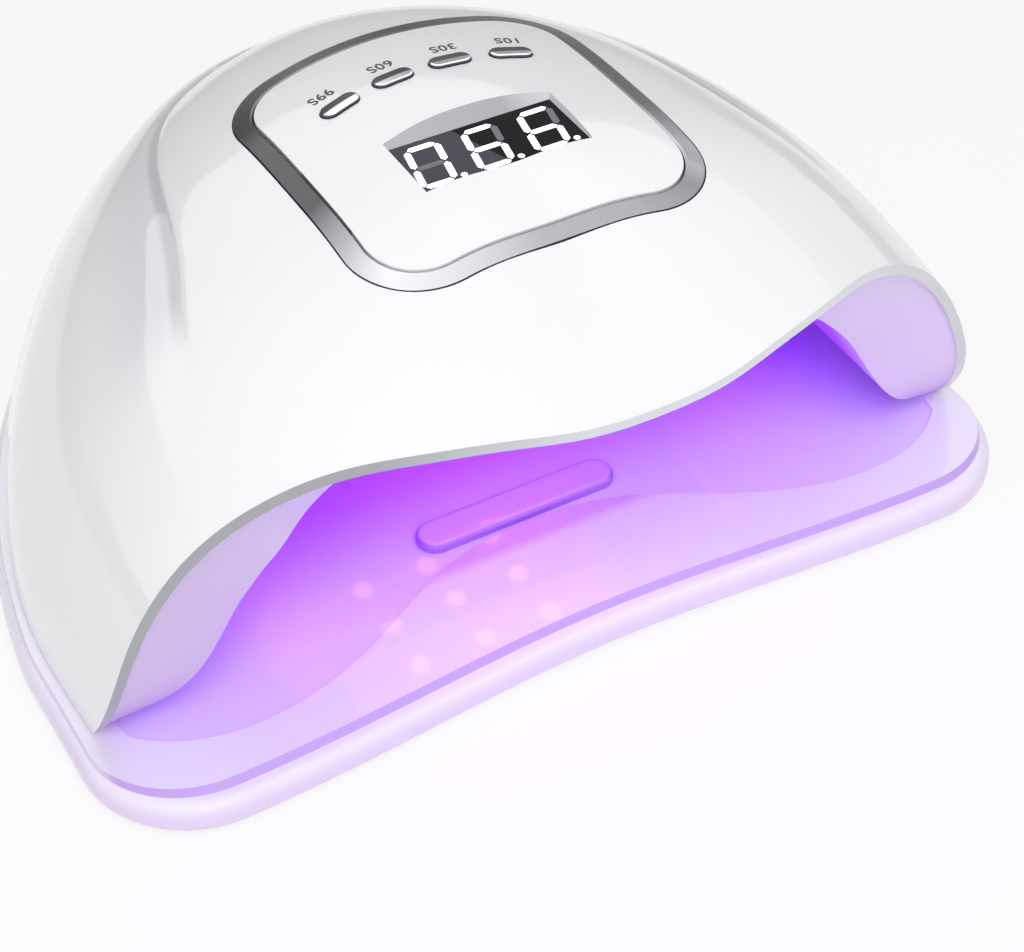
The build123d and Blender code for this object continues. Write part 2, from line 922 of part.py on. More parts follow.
def tray_ribs(hollow, top_z):
    low_z = tray_bottom_z + 1
    middle_z = (low_z + top_z) / 2
    bars = []
    for index in (-2, -1, 0, 1, 2):
        bars.append(Pos(index * rib_pitch, 0, middle_z) * Box(rib_thickness, big, top_z - low_z))
    for index in (-1, 0, 1, 2):
        y = index * rib_pitch - rib_pitch / 2
        bars.append(Pos(0, y, middle_z) * Box(big, rib_thickness, top_z - low_z))
    ribs = bars[0]
    for bar in bars[1:]:
        ribs = ribs + bar
    return ribs & upright(hollow, low_z, top_z)


# Parts

def build_parts():
    outside = dome_solid(0)
    inside = dome_solid(housing_wall)
    deeper = dome_solid(housing_wall + frame_wall)
    cavity = cavity_solid(0)
    cavity_outer = cavity_solid(liner_wall)
    parts = {
        "outer_shell": outer_shell(outside, inside),
        "front_fascia": front_fascia(inside, cavity),
        "inner_liner": inner_liner(inside, cavity, cavity_outer),
        "bottom_plate": bottom_plate(inside, cavity_outer),
        "plate_screws": plate_screws(),
        "lamp_pads": discs(sided(pad_places), pad_radius, housing_base_z, pad_thickness),
        "lamp_magnets": discs(sided([(magnet_x, magnet_y)]), magnet_radius, housing_base_z, magnet_thickness),
        "power_socket": power_socket(),
        "socket_pin": socket_pin(),
        "trim_ring": trim_ring(inside),
        "control_panel": control_panel(inside),
        "panel_frame": panel_frame(inside, deeper),
        "display_window": display_window(),
        "display_module": display_module(),
        "control_board": control_board(),
        "board_screws": board_screws(),
        "tact_switches": tact_switches(),
        "led_beads": led_beads(),
        "led_board": led_board(),
        "heat_plate": heat_plate(),
        "tray_plate": tray_plate(),
        "tray_feet": discs(foot_places(), foot_radius, 0, foot_height),
        "tray_magnets": discs(
            sided([(magnet_x, magnet_y)]), magnet_radius, plateau_top_z - magnet_thickness, magnet_thickness
        ),
    }
    for index, seconds in enumerate(("99s", "60s", "30s", "10s")):
        parts["button_" + seconds] = button(index)
    return parts


os.makedirs("parts", exist_ok=True)
for name, shape in build_parts().items():
    export_step(shape, "parts/" + name + ".step")
    print(name, round(shape.volume), shape.is_valid)
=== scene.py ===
import math

import bmesh
import bpy
from mathutils import Matrix, Vector


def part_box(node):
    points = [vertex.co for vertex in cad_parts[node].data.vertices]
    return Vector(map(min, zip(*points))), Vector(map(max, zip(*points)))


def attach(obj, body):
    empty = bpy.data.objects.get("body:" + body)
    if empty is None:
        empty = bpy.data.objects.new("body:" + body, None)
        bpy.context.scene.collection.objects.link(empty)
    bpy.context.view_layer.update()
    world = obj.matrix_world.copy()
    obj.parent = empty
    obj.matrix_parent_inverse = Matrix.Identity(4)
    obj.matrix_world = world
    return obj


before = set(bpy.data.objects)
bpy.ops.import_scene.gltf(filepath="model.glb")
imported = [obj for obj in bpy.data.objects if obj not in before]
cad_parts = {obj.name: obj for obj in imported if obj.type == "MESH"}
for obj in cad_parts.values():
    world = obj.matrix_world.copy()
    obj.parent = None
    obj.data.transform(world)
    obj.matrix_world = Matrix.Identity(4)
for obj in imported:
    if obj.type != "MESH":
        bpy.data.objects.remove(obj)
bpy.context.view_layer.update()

# The frame is in metres: z is up, the hand opening faces -y, and x runs right as seen from there
mm = 0.001

# Camera, as the photograph was taken: 1024 by 952 pixels
image_width = 1024
focal_pixels = 2230
camera_place = Vector((-190.3, -376.0, 369.5)) * mm
camera_pitch = math.radians(42.75)
camera_azimuth = math.radians(30.05)
camera_roll = math.radians(0.25)
sensor_width = 36.0
nearest_seen = 0.02
furthest_seen = 20

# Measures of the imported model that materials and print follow, in millimetres
housing_base_z = 10.5
dome_centre_y = -36.5
crease_waves = (66.2, 13.2, -7.9, -1.6)
ring_centre_y = -27.0
button_arc_radius = 85.0
button_arc_top_y = -6.8

# Colours, linear
white = (1, 1, 1)
white_shell = (0.855, 0.855, 0.87, 1)
white_panel = (0.88, 0.88, 0.89, 1)
white_tray = (0.86, 0.84, 0.90, 1)
white_liner = (0.84, 0.81, 0.90, 1)
button_silver = (0.80, 0.80, 0.83, 1)
smoked_black = (0.008, 0.008, 0.010, 1)
module_grey = (0.05, 0.05, 0.055, 1)
board_green = (0.02, 0.16, 0.07, 1)
bead_violet = (0.62, 0.35, 1.0, 1)
rolled_grey = (0.68, 0.69, 0.71, 1)
steel_grey = (0.6, 0.6, 0.62, 1)
rubber_grey = (0.035, 0.035, 0.04, 1)
socket_black = (0.015, 0.015, 0.016, 1)
brass_yellow = (0.75, 0.58, 0.28, 1)
ink_grey = (0.06, 0.06, 0.07, 1)
lit_white = (0.95, 0.95, 0.97, 1)
unlit_grey = (0.13, 0.13, 0.15, 1)

# Painted shade, painted reflections and painted violet light: each pair of edges is where the paint
# starts and where it is full.
# Edges in x, y and z are in millimetres, and facing ones are shares of a face's normal
# Painted shade on the drafted walls round the display, greyer than the panel and paler at their right
# end
recess_wall_facing = (0.95, 0.90)
recess_far_edge = (-22.8, -23.2)
recess_near_edge = (-46.6, -46.3)
recess_across = (-22, 22)
recess_painted_shades = [(0, 0.42), (0.3, 0.38), (0.8, 0.36), (1, 0.6)]

# Painted shade on the rounded edges of let-in pieces, where they meet the dark of their gap
let_in_facing = (0.80, 0.62)
ring_gap_painted_shade = (0.03, 0.03, 0.04, 1)
button_gap_painted_shade = (0.10, 0.10, 0.12, 1)
# Painted reflection on the buttons: their far half is painted dark, darkest on the left
button_far_half = (-0.5, 0.1)
buttons_across = (-26, 26)
button_painted_reflection = [(0, 0.05), (0.3, 0.12), (0.6, 0.22), (0.8, 0.2), (1, 0.16)]

# Painted reflections round the ring: greys as shares of a turn that starts and ends at the left and
# runs by the front
ring_painted_reflections = [
    (0.0, 0.10),
    (0.03, 0.10),
    (0.077, 0.35),
    (0.117, 0.67),
    (0.158, 0.57),
    (0.237, 0.35),
    (0.319, 0.32),
    (0.369, 0.22),
    (0.412, 0.48),
    (0.465, 0.21),
    (0.558, 0.14),
    (0.618, 0.14),
    (0.723, 0.11),
    (0.824, 0.29),
    (0.898, 0.11),
    (0.948, 0.10),
    (1.0, 0.10),
]

# Painted shadow and a painted dark line under the crease: they fade out by the cosine of its bearing,
# and run down by the depth below it
crease_fade = (-0.12, 0.12)
crease_upper_edge = (-1.0, -0.2)
crease_shadow_edge = (16, 0)
crease_shadow_strength = 0.45
crease_shadow_shade = (0.52, 0.52, 0.56, 1)
crease_line_edge = (1.1, 0.3)
crease_line_strength = 0.42
crease_line_shade = (0.26, 0.26, 0.28, 1)

# Painted shade on the shell's cut edge round the mouth, greyest on the left leg
cut_edge_front = (-60, -64)
cut_edge_facing = (-0.55, -0.75)
cut_edge_upright = (0.25, 0.12)
cut_edge_across = (-110, 110)
cut_edge_painted_shades = [(0, 0.34), (0.15, 0.36), (0.26, 0.54), (0.4, 0.72), (0.8, 0.74), (1, 0.62)]

# Painted violet light on the liner, deepest further in, and greyer painted shade on its left leg
liner_front_edge = (-96, -72)
liner_front_painted_violet = (0.76, 0.62, 0.90, 1)
liner_left_edge = (-50, -92)
liner_left_painted_shade = (0.68, 0.56, 0.79, 1)
liner_deep_edge = (-76, -56)
liner_deep_painted_violet = (0.60, 0.16, 0.92, 1)

# Painted violet light on the tray: on its front, in the scoop and deepest behind the mouth under the
# lamp's oval,
# with deeper painted violet shade on the step and the finger bar's sides
tray_front_edge = (0, -70)
tray_front_painted_violet = (0.82, 0.75, 0.92, 1)
scoop_upper_edge = (10.15, 9.6)
scoop_lower_edge = (8.45, 8.7)
scoop_painted_violet = (0.77, 0.63, 0.93, 1)
lamp_oval = (112, 135)
lamp_oval_edge = (0.97, 0.80)
tray_upward_facing = (-0.1, 0.2)
tray_inner_edge = (-56, -20)
tray_inner_strength = 0.9
tray_inner_painted_violet = (0.68, 0.18, 0.95, 1)
step_facing = (0.93, 0.86)
step_edge = (-74, -80)
step_painted_shade = (0.54, 0.34, 0.82, 1)
bar_edge = (-63, -59)
bar_top_edge = (9.8, 10.3)
bar_top_painted_violet = (0.72, 0.42, 0.93, 1)
bar_side_facing = (0.92, 0.75)
bar_side_painted_shade = (0.50, 0.16, 0.80, 1)
rounded_rim_edge = (8.2, 5)
rounded_rim_painted_violet = (0.80, 0.66, 0.90, 1)

# Painted reflection on the window: paler on its left part up to a slanting line
window_slant = 0.35
window_split = (-14.2, -14.9)
window_painted_reflection = (0.075, 0.075, 0.095, 1)

# Light that falls on the object from all round, and the floor with the white that it shows of itself
falling_light = (0.97, 0.98, 1, 1)
falling_strength = 0.45
floor_colour = (0.93, 0.93, 0.94, 1)
floor_glow = 0.72
floor_half = 12.0

# Studio lights over the object, in metres and watts
studio_middle = (0, 0, 0.05)
key_place = (-0.5, -1.2, 1.6)
key_size = (1.4, 1.4)
key_power = 24
top_place = (0.1, -0.1, 1.9)
top_size = (1.4, 1.2)
top_power = 1.8

# Cards round the object that only gloss sees: metres, and degrees of bearing and of rise.
# A bearing is 0 behind the object and 90 on its right
card_radius = 2.6
ceiling_height = 3.4
ceiling_rise = 30
ceiling_shade = 1.5
ceiling_sides = 24
wall_bearings = range(-100, 140, 4)
wall_rows = ((0, 0.55), (10, 0.50), (20, 0.46))
wall_top_rise = 23.5
wall_top_step = 6
wall_top_step_edge = (-16, -8)
wall_top_shade = 0.48
wall_top_blend = 1
wall_left_fade = (-42, -72)
wall_right_fade = (40, 65)
wall_right_fade_strength = 0.6
far_floor_bearings = range(-100, 150, 10)
far_floor_rows = ((0.36, 0.95), (0.5, 0.52), (2.6, 0.52))
far_floor_height = 1 * mm

# Violet lights in the mouth, in metres and watts. Those under its ceiling are listed from the front
# to the back by y in millimetres, power and colour
violet_deep = (0.34, 0.0, 1.0)
violet_middle = (0.46, 0.10, 1.0)
violet_pale = (0.54, 0.40, 1.0)
cavity_lights = (
    (-62, 0.0075, violet_pale),
    (-36, 0.013, violet_middle),
    (-10, 0.016, violet_deep),
)
cavity_light_size = (0.08, 0.02)
side_place = (0.058, -0.046, 0.032)
side_target = (0.08, -0.048, 0.0094)
side_size = (0.03, 0.012)
side_power = 0.003
side_light = (0.34, 0.02, 1.0)
spill_place = (0, -0.085, 0.055)
spill_target = (0, -0.19, 0)
spill_size = (0.12, 0.012)
spill_power = 0.012
spill_light = (0.36, 0.25, 1.0)

# Display, in millimetres: three digits that lean to the right, each with a dot
digit_count = 3
digit_pitch = 13.5
digit_left_x = -16.5
digit_width = 7.1
digit_top_y = -30.9
digit_middle_y = -37.7
digit_bottom_y = -44.2
digit_slant = 0.195
segment_width = 1.5
segment_gap = 0.28
dot_radius = 0.75
dot_sides = 20
dot_offset = Vector((2.2, 0.25))

# Segments that stay dark: the left digit's middle bar, and the upper right ones of the other two
dark_segments = {(0, "middle"), (1, "upper_right"), (2, "upper_right")}

# Print stands up from the face, the digits clear of the window and the words sunk in the panel
print_depth = 0.06
digit_clearance = 0.006
word_sunk = 0.01

# Labels behind the buttons: text, middle of the word on the panel, and turn in degrees
labels = (
    ("99S", -22.5, -3.0, 12),
    ("60S", -6.8, -0.5, 4),
    ("30S", 8.8, -0.5, -5),
    ("10S", 24.0, -2.8, -15),
)
label_height = 2.9
label_weight = 0.07
label_spacing = 1.08
font_size_per_height = 1.38


# Nodes that the materials are made of

def opened(material):
    tree = material.node_tree
    return tree, tree.nodes["Principled BSDF"]


def new_material(name):
    material = bpy.data.materials.new(name)
    material.use_nodes = True
    return material, *opened(material)


def own_place(tree):
    """A point's coordinates on its own piece, in metres."""
    return tree.nodes.new("ShaderNodeTexCoord").outputs["Object"]


def axes(tree, vector):
    """The parts of a vector, under the names X, Y and Z."""
    parts = tree.nodes.new("ShaderNodeSeparateXYZ")
    tree.links.new(vector, parts.inputs["Vector"])
    return parts.outputs


def place_axes(tree):
    return axes(tree, own_place(tree))


def facing_axes(tree):
    """The parts of a face's normal."""
    return axes(tree, tree.nodes.new("ShaderNodeTexCoord").outputs["Normal"])


def add_noise(tree, scale, detail, distortion=0):
    """A noise field in the piece's own coordinates, scale in features per metre."""
    noise = tree.nodes.new("ShaderNodeTexNoise")
    noise.inputs["Scale"].default_value = scale
    noise.inputs["Detail"].default_value = detail
    noise.inputs["Distortion"].default_value = distortion
    tree.links.new(own_place(tree), noise.inputs["Vector"])
    return noise.outputs["Fac"]


def add_range(tree, source, low, high):
    """Maps a noise field from its usual spread onto low to high."""
    spread = tree.nodes.new("ShaderNodeMapRange")
    spread.inputs["From Min"].default_value = 0.3
    spread.inputs["From Max"].default_value = 0.7
    spread.inputs["To Min"].default_value = low
    spread.inputs["To Max"].default_value = high
    tree.links.new(source, spread.inputs["Value"])
    return spread.outputs["Result"]


def add_bump(tree, shader, source, strength, distance):
    bump = tree.nodes.new("ShaderNodeBump")
    bump.inputs["Strength"].default_value = strength
    bump.inputs["Distance"].default_value = distance
    tree.links.new(source, bump.inputs["Height"])
    tree.links.new(bump.outputs["Normal"], shader.inputs["Normal"])


def add_tint(tree, shader, source, colour, share):
    """A base colour that goes from the colour to a share of it, as the noise field says."""
    mix = tree.nodes.new("ShaderNodeMix")
    mix.data_type = "RGBA"
    mix.inputs["A"].default_value = colour
    mix.inputs["B"].default_value = (colour[0] * share, colour[1] * share, colour[2] * share, 1)
    tree.links.new(add_range(tree, source, 0, 1), mix.inputs["Factor"])
    tree.links.new(mix.outputs["Result"], shader.inputs["Base Color"])


def ramp(tree, source, edges, unit=1):
    """0 where the source is at the first edge, 1 where it is at the second, smooth between."""
    spread = tree.nodes.new("ShaderNodeMapRange")
    spread.interpolation_type = "SMOOTHSTEP"
    spread.inputs["From Min"].default_value = edges[0] * unit
    spread.inputs["From Max"].default_value = edges[1] * unit
    tree.links.new(source, spread.inputs["Value"])
    return spread.outputs["Result"]


def combined(tree, operation, first, second):
    result = tree.nodes.new("ShaderNodeMath")
    result.operation = operation
    tree.links.new(first, result.inputs[0])
    tree.links.new(second, result.inputs[1])
    return result.outputs["Value"]


def times(tree, first, *others):
    """The product of two or more fields."""
    product = first
    for other in others:
        product = combined(tree, "MULTIPLY", product, other)
    return product


def scaled(tree, source, factor, offset=0):
    """factor times the source, plus an offset."""
    result = tree.nodes.new("ShaderNodeMath")
    result.operation = "MULTIPLY_ADD"
    tree.links.new(source, result.inputs[0])
    result.inputs[1].default_value = factor
    result.inputs[2].default_value = offset
    return result.outputs["Value"]


def polynomial(tree, source, factors):
    """A polynomial of the source, its factors given from the highest power down."""
    total = scaled(tree, source, factors[0], factors[1])
    for factor in factors[2:]:
        total = scaled(tree, times(tree, total, source), 1, factor)
    return total


def oval_share(tree, half_width, reach):
    """Distance from the dome's axis in the plan, 1 on an oval of that half width and reach."""
    oval = tree.nodes.new("ShaderNodeMapping")
    oval.inputs["Location"].default_value = (0, -dome_centre_y / reach, 0)
    oval.inputs["Scale"].default_value = (1 / (half_width * mm), 1 / (reach * mm), 0)
    tree.links.new(own_place(tree), oval.inputs["Vector"])
    length = tree.nodes.new("ShaderNodeVectorMath")
    length.operation = "LENGTH"
    tree.links.new(oval.outputs["Vector"], length.inputs[0])
    return length.outputs["Value"]


def retint(tree, shader, mask, colour):
    """Mixes another colour, or a field of one, over the base colour where the mask is 1."""
    before = shader.inputs["Base Color"].links[0].from_socket
    mix = tree.nodes.new("ShaderNodeMix")
    mix.data_type = "RGBA"
    tree.links.new(mask, mix.inputs["Factor"])
    tree.links.new(before, mix.inputs["A"])
    if isinstance(colour, tuple):
        mix.inputs["B"].default_value = colour
    else:
        tree.links.new(colour, mix.inputs["B"])
    tree.links.new(mix.outputs["Result"], shader.inputs["Base Color"])


def near_grey(shade):
    """A grey that leans a little to blue."""
    return (shade * 0.97, shade * 0.975, min(shade * 1.03, 1), 1)


def grey_scale(tree, source, stops):
    """Greys along a value from 0 to 1; the first stop is at 0 and the last at 1."""
    scale = tree.nodes.new("ShaderNodeValToRGB")
    elements = scale.color_ramp.elements
    elements[0].color = near_grey(stops[0][1])
    elements[-1].color = near_grey(stops[-1][1])
    for place, shade in stops[1:-1]:
        elements.new(place).color = near_grey(shade)
    tree.links.new(source, scale.inputs["Fac"])
    return scale.outputs["Color"]


# Materials

def moulded(name, colour, roughness, coat, grain):
    """Moulded plastic: faint cloudiness, slightly uneven gloss and a fine skin."""
    material, tree, shader = new_material(name)
    add_tint(tree, shader, add_noise(tree, scale=14, detail=2), colour, share=0.985)
    gloss = add_noise(tree, scale=90, detail=3)
    uneven = add_range(tree, gloss, roughness * 0.94, roughness * 1.06)
    tree.links.new(uneven, shader.inputs["Roughness"])
    skin = add_noise(tree, scale=1800, detail=2)
    add_bump(tree, shader, skin, strength=grain, distance=0.03 * mm)
    shader.inputs["Coat Weight"].default_value = coat
    shader.inputs["Coat Roughness"].default_value = 0.04
    shader.inputs["Coat IOR"].default_value = 1.7
    return material


def bare_metal(name, roughness, brushed):
    """Bright metal with rub marks, its colour not given yet."""
    material, tree, shader = new_material(name)
    rubs = add_noise(tree, scale=420, detail=5, distortion=brushed)
    uneven = add_range(tree, rubs, roughness * 0.7, roughness * 1.4)
    tree.links.new(uneven, shader.inputs["Roughness"])
    add_bump(tree, shader, rubs, strength=0.05, distance=0.05 * mm)
    shader.inputs["Metallic"].default_value = 1
    return material


def plated(name, colour, roughness, brushed):
    """Bright metal with rub marks and a faint tarnish."""
    material = bare_metal(name, roughness, brushed)
    tree, shader = opened(material)
    add_tint(tree, shader, add_noise(tree, scale=60, detail=3), colour, share=0.9)
    return material


def rubber(name, colour):
    """Matt rubber with paler specks."""
    material, tree, shader = new_material(name)
    speck = add_noise(tree, scale=2200, detail=4)
    add_tint(tree, shader, speck, colour, share=1.4)
    tree.links.new(add_range(tree, speck, 0.62, 0.85), shader.inputs["Roughness"])
    add_bump(tree, shader, speck, strength=0.35, distance=0.2 * mm)
    return material


def glowing(name, colour, strength):
    """A smooth lens or segment that gives light of its own colour."""
    material, tree, shader = new_material(name)
    add_tint(tree, shader, add_noise(tree, scale=900, detail=2), colour, share=0.8)
    shader.inputs["Roughness"].default_value = 0.12
    shader.inputs["Emission Color"].default_value = colour
    shader.inputs["Emission Strength"].default_value = strength
    return material


def panel_material():
    """Panel, with painted shade on the drafted walls round the display, paler at their right end."""
    material = moulded("panel_gloss_white", white_panel, roughness=0.35, coat=0.8, grain=0.03)
    tree, shader = opened(material)
    place = place_axes(tree)
    walls = times(
        tree,
        ramp(tree, facing_axes(tree)["Z"], recess_wall_facing),
        ramp(tree, place["Y"], recess_far_edge, mm),
        ramp(tree, place["Y"], recess_near_edge, mm),
    )
    across = ramp(tree, place["X"], recess_across, mm)
    retint(tree, shader, walls, grey_scale(tree, across, recess_painted_shades))
    return material


def paint_shade_on_let_in_edge(tree, shader, colour):
    """Paints shade on the rounded edge of a let-in piece, as if it fell into the dark of its gap."""
    retint(tree, shader, ramp(tree, facing_axes(tree)["Z"], let_in_facing), colour)


def ring_material():
    """Plating with painted reflections: its colour darkens round the ring, as bright metal does under a
    soft box.
    """
    material = bare_metal("ring_plating_painted_reflections", roughness=0.16, brushed=0.6)
    tree, shader = opened(material)
    centre = tree.nodes.new("ShaderNodeMapping")
    centre.inputs["Location"].default_value = (0, -ring_centre_y * mm, 0)
    tree.links.new(own_place(tree), centre.inputs["Vector"])
    round_about = tree.nodes.new("ShaderNodeTexGradient")
    round_about.gradient_type = "RADIAL"
    tree.links.new(centre.outputs["Vector"], round_about.inputs["Vector"])
    shades = grey_scale(tree, round_about.outputs["Fac"], ring_painted_reflections)
    tree.links.new(shades, shader.inputs["Base Color"])
    paint_shade_on_let_in_edge(tree, shader, ring_gap_painted_shade)
    return material


def button_material():
    """Bright caps with a painted reflection: their far half is painted dark, as the backdrop would show
    in them.
    """
    material = plated("button_bright_plating", button_silver, roughness=0.08, brushed=0.2)
    tree, shader = opened(material)
    place = place_axes(tree)
    square = times(tree, place["X"], place["X"])
    bow = scaled(tree, square, 1 / (2 * button_arc_radius * mm), -button_arc_top_y * mm)
    past_arc = combined(tree, "ADD", place["Y"], bow)
    across = ramp(tree, place["X"], buttons_across, mm)
    shades = grey_scale(tree, across, button_painted_reflection)
    retint(tree, shader, ramp(tree, past_arc, button_far_half, mm), shades)
    paint_shade_on_let_in_edge(tree, shader, button_gap_painted_shade)
    return material


def bearing_cosine(tree):
    """Cosine of a point's bearing round the dome's axis, 1 at the back and -1 at the front."""
    across = tree.nodes.new("ShaderNodeVectorMath")
    across.operation = "MULTIPLY_ADD"
    across.inputs[1].default_value = (1, 1, 0)
    across.inputs[2].default_value = (0, -dome_centre_y * mm, 0)
    tree.links.new(own_place(tree), across.inputs[0])
    bearing = tree.nodes.new("ShaderNodeVectorMath")
    bearing.operation = "NORMALIZE"
    tree.links.new(across.outputs["Vector"], bearing.inputs[0])
    return axes(tree, bearing.outputs["Vector"])["Y"]


def depth_below_crease(tree, cosine, height):
    """How far a point lies below the crease, whose height is a sum of waves round the dome."""
    flat, first, second, third = (wave * mm for wave in crease_waves)
    base = flat - second + housing_base_z * mm
    crease = polynomial(tree, cosine, (4 * third, 2 * second, first - 3 * third, base))
    return combined(tree, "SUBTRACT", crease, height)


def shell_material():
    """Shell, with a painted soft shadow and a painted dark line under the crease, and painted shade on
    the cut edge round the mouth.
    """
    material = moulded("shell_gloss_white", white_shell, roughness=0.4, coat=1.0, grain=0.03)
    tree, shader = opened(material)
    place = place_axes(tree)
    facing = facing_axes(tree)
    cosine = bearing_cosine(tree)
    below = depth_below_crease(tree, cosine, place["Z"])
    # Painted shadow and painted dark line under the crease
    near_crease = times(tree, ramp(tree, cosine, crease_fade), ramp(tree, below, crease_upper_edge, mm))
    shadow = times(tree, ramp(tree, below, crease_shadow_edge, mm), near_crease)
    retint(tree, shader, scaled(tree, shadow, crease_shadow_strength), crease_shadow_shade)
    line = times(tree, ramp(tree, below, crease_line_edge, mm), near_crease)
    retint(tree, shader, scaled(tree, line, crease_line_strength), crease_line_shade)
    cut_edge = times(
        tree,
        ramp(tree, place["Y"], cut_edge_front, mm),
        ramp(tree, facing["Y"], cut_edge_facing),
        ramp(tree, facing["Z"], cut_edge_upright),
    )
    across = ramp(tree, place["X"], cut_edge_across, mm)
    retint(tree, shader, cut_edge, grey_scale(tree, across, cut_edge_painted_shades))
    return material


def liner_material():
    """Lining with painted violet light, deeper further in where only the beads light it, and greyer
    painted shade on its left.
    """
    material = moulded("liner_satin_white", white_liner, roughness=0.42, coat=0.0, grain=0.1)
    tree, shader = opened(material)
    place = place_axes(tree)
    retint(tree, shader, ramp(tree, place["Y"], liner_front_edge, mm), liner_front_painted_violet)
    retint(tree, shader, ramp(tree, place["X"], liner_left_edge, mm), liner_left_painted_shade)
    retint(tree, shader, ramp(tree, place["Y"], liner_deep_edge, mm), liner_deep_painted_violet)
    return material


def paint_violet_behind_mouth(tree, shader, place, facing, under_lamp):
    """Paints the deepest violet light on the tray's upward faces behind the mouth."""
    upward = ramp(tree, facing["Z"], tray_upward_facing)
    inner = times(tree, ramp(tree, place["Y"], tray_inner_edge, mm), upward, under_lamp)
    retint(tree, shader, scaled(tree, inner, tray_inner_strength), tray_inner_painted_violet)


def paint_violet_on_finger_bar(tree, shader, place, facing, under_lamp):
    """Paints violet light on the finger bar: paler on its top, with deeper painted shade on its sides.
    """
    on_bar = times(tree, ramp(tree, place["Y"], bar_edge, mm), under_lamp)
    top = times(tree, ramp(tree, place["Z"], bar_top_edge, mm), on_bar)
    retint(tree, shader, top, bar_top_painted_violet)
    side = times(tree, ramp(tree, facing["Z"], bar_side_facing), on_bar)
    retint(tree, shader, side, bar_side_painted_shade)


def tray_material():
    """Tray with painted violet light, where the scoop and the step are painted with more of it than the
    plateau.
    """
    material = moulded("tray_gloss_white", white_tray, roughness=0.3, coat=0.5, grain=0.04)
    tree, shader = opened(material)
    place = place_axes(tree)
    facing = facing_axes(tree)
    front = ramp(tree, place["Y"], tray_front_edge, mm)
    above_step = ramp(tree, place["Z"], scoop_lower_edge, mm)
    under_lamp = ramp(tree, oval_share(tree, *lamp_oval), lamp_oval_edge)
    retint(tree, shader, front, tray_front_painted_violet)
    scoop = times(tree, ramp(tree, place["Z"], scoop_upper_edge, mm), above_step)
    retint(tree, shader, scoop, scoop_painted_violet)
    paint_violet_behind_mouth(tree, shader, place, facing, under_lamp)
    step = times(
        tree,
        ramp(tree, facing["Z"], step_facing),
        ramp(tree, place["Y"], step_edge, mm),
        above_step,
    )
    retint(tree, shader, step, step_painted_shade)
    paint_violet_on_finger_bar(tree, shader, place, facing, under_lamp)
    rounded_rim = times(tree, ramp(tree, place["Z"], rounded_rim_edge, mm), front)
    retint(tree, shader, rounded_rim, rounded_rim_painted_violet)
    return material


def window_material():
    """Smoked window with a painted reflection: paler on its left part up to a slanting line."""
    material = moulded("window_smoked", smoked_black, roughness=0.1, coat=0.0, grain=0.0)
    tree, shader = opened(material)
    place = place_axes(tree)
    slanting = combined(tree, "ADD", scaled(tree, place["Y"], window_slant), place["X"])
    retint(tree, shader, ramp(tree, slanting, window_split, mm), window_painted_reflection)
    shader.inputs["Specular IOR Level"].default_value = 0.04
    return material


def make_materials():
    return {
        "shell": shell_material(),
        "panel": panel_material(),
        "liner": liner_material(),
        "inside": moulded("inside_satin_white", white_panel, roughness=0.45, coat=0.0, grain=0.1),
        "tray": tray_material(),
        "ring": ring_material(),
        "button": button_material(),
        "window": window_material(),
        "module": moulded("module_dark_grey", module_grey, roughness=0.5, coat=0.0, grain=0.2),
        "board": moulded("board_green", board_green, roughness=0.4, coat=0.2, grain=0.2),
        "bead": glowing("bead_violet", bead_violet, strength=6.0),
        "plate": plated("plate_rolled_metal", rolled_grey, roughness=0.35, brushed=1.5),
        "steel": plated("steel_plated", steel_grey, roughness=0.28, brushed=1.0),
        "rubber": rubber("rubber_grey", rubber_grey),
        "socket": moulded("socket_black", socket_black, roughness=0.4, coat=0.0, grain=0.3),
        "brass": plated("pin_brass", brass_yellow, roughness=0.22, brushed=0.5),
        "ink": moulded("print_grey", ink_grey, roughness=0.35, coat=0.0, grain=0.05),
        "segment_on": glowing("segment_lit", lit_white, strength=1.0),
        "segment_off": moulded("segment_unlit", unlit_grey, roughness=0.3, coat=0.0, grain=0.0),
    }


node_finish = {
    "outer_shell": "shell",
    "front_fascia": "liner",
    "inner_liner": "liner",
    "bottom_plate": "inside",
    "plate_screws": "steel",
    "lamp_pads": "rubber",
    "lamp_magnets": "steel",
    "power_socket": "socket",
    "socket_pin": "brass",
    "trim_ring": "ring",
    "control_panel": "panel",
    "panel_frame": "inside",
    "display_window": "window",
    "display_module": "module",
    "control_board": "board",
    "board_screws": "steel",
    "tact_switches": "module",
    "led_beads": "bead",
    "led_board": "board",
    "heat_plate": "plate",
    "tray_plate": "tray",
    "tray_feet": "rubber",
    "tray_magnets": "steel",
    "button_99s": "button",
    "button_60s": "button",
    "button_30s": "button",
    "button_10s": "button",
}


def dress_nodes(materials):
    for name, finish in node_finish.items():
        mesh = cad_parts[name].data
        mesh.materials.clear()
        mesh.materials.append(materials[finish])


# Studio

def add_object(name, data):
    piece = bpy.data.objects.new(name, data)
    bpy.context.scene.collection.objects.link(piece)
    return piece


def camera_turn():
    """The camera's axes as a rotation, from its azimuth, pitch and roll."""
    level = math.cos(camera_pitch)
    forward = Vector((
        math.sin(camera_azimuth) * level,
        math.cos(camera_azimuth) * level,
        -math.sin(camera_pitch),
    ))
    right = Vector((math.cos(camera_azimuth), -math.sin(camera_azimuth), 0))
    up = right.cross(forward)
    rolled_right = right * math.cos(camera_roll) + up * math.sin(camera_roll)
    rolled_up = up * math.cos(camera_roll) - right * math.sin(camera_roll)
    return Matrix((rolled_right, rolled_up, -forward)).transposed()


